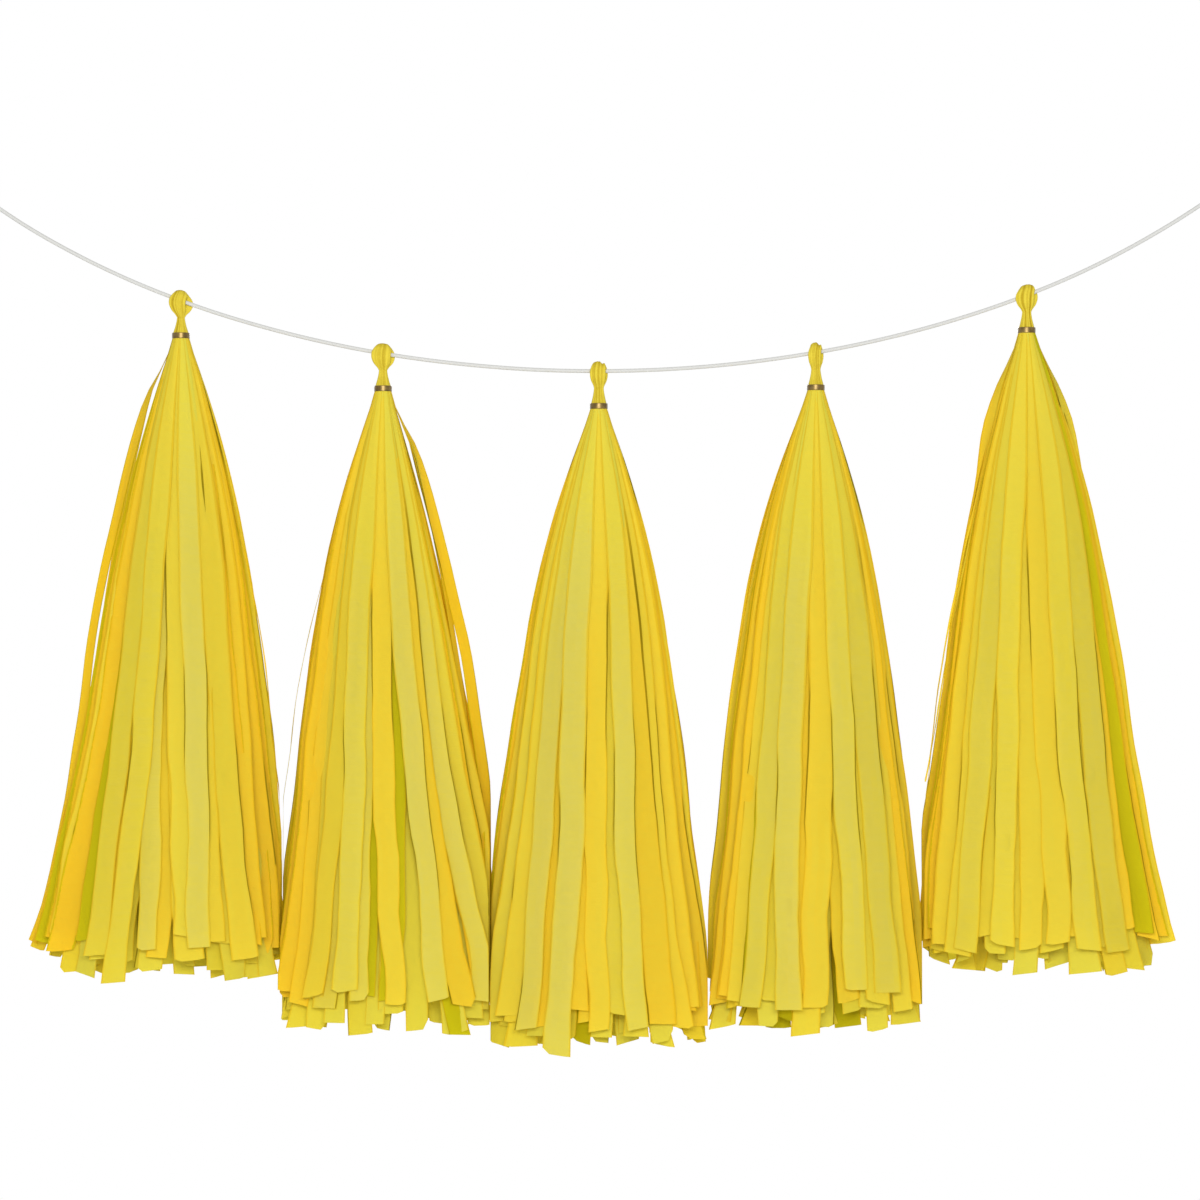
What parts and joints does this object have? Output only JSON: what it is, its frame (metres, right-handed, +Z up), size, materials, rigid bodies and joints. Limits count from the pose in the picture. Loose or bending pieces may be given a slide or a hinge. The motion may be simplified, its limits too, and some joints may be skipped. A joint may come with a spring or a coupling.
{
  "type": "tassel garland",
  "caption": "Party garland of tissue paper tassels that hang from one cord by folded loops, each gathered in a gold ring and cut into long strips, with a tied loop at each end of the cord.",
  "frame": {"origin": "the point inside the left hanging loop where it bears on its hook, on the garland's mid plane", "axes": "+X along the garland towards its right end, +Z up, the front of the garland faces -Y"},
  "size_m": [0.6774, 0.1098, 0.4529],
  "materials": {
    "string": "soft off-white twisted cord",
    "tissue": "yellow tissue paper, thin and faintly crinkled",
    "inner_tissue": "yellow tissue paper in the shade of the outer strips",
    "gold": "polished gold-coloured metal"
  },
  "bodies": {
    "string": {"string": "string", "knot_left": "string", "knot_right": "string", "hanging_loop_left": "string", "hanging_loop_right": "string", "loop_3": "tissue"},
    "head_1": {"loop_1": "tissue"},
    "head_2": {"loop_2": "tissue"},
    "head_4": {"loop_4": "tissue"},
    "head_5": {"loop_5": "tissue"},
    "tassel_1": {"neck_1": "tissue", "gold_ring_1": "gold", "outer_fringe_1": "tissue", "inner_fringe_1": "inner_tissue"},
    "tassel_2": {"neck_2": "tissue", "gold_ring_2": "gold", "outer_fringe_2": "tissue", "inner_fringe_2": "inner_tissue"},
    "tassel_3": {"neck_3": "tissue", "gold_ring_3": "gold", "outer_fringe_3": "tissue", "inner_fringe_3": "inner_tissue"},
    "tassel_4": {"neck_4": "tissue", "gold_ring_4": "gold", "outer_fringe_4": "tissue", "inner_fringe_4": "inner_tissue"},
    "tassel_5": {"neck_5": "tissue", "gold_ring_5": "gold", "outer_fringe_5": "tissue", "inner_fringe_5": "inner_tissue"}
  },
  "joints": [
    {"name": "slide_1", "type": "slide", "parent": "string", "child": "head_1", "axis": [-0.9273, 0, 0.3742], "range_m": [0, 0.03]},
    {"name": "slide_2", "type": "slide", "parent": "string", "child": "head_2", "axis": [-0.9843, 0, 0.1766], "range_m": [0, 0.015]},
    {"name": "slide_4", "type": "slide", "parent": "string", "child": "head_4", "axis": [0.9836, 0, 0.1805], "range_m": [0, 0.015]},
    {"name": "slide_5", "type": "slide", "parent": "string", "child": "head_5", "axis": [0.9217, 0, 0.388], "range_m": [0, 0.03]},
    {"name": "swing_1", "type": "hinge", "parent": "head_1", "child": "tassel_1", "pos_m": [0.12364, 0, -0.07601], "axis": [1, 0, 0], "range_deg": [-60, 60]},
    {"name": "swing_2", "type": "hinge", "parent": "head_2", "child": "tassel_2", "pos_m": [0.22612, 0, -0.10283], "axis": [1, 0, 0], "range_deg": [-60, 60]},
    {"name": "swing_3", "type": "hinge", "parent": "string", "child": "tassel_3", "pos_m": [0.33551, 0, -0.11173], "axis": [1, 0, 0], "range_deg": [-60, 60]},
    {"name": "swing_4", "type": "hinge", "parent": "head_4", "child": "tassel_4", "pos_m": [0.44554, 0, -0.10231], "axis": [1, 0, 0], "range_deg": [-60, 60]},
    {"name": "swing_5", "type": "hinge", "parent": "head_5", "child": "tassel_5", "pos_m": [0.55241, 0, -0.07325], "axis": [1, 0, 0], "range_deg": [-60, 60]}
  ],
  "couplings": [
    {"joint": "slide_2", "follows": "slide_1", "ratio": 0.5},
    {"joint": "slide_4", "follows": "slide_5", "ratio": 0.5}
  ]
}
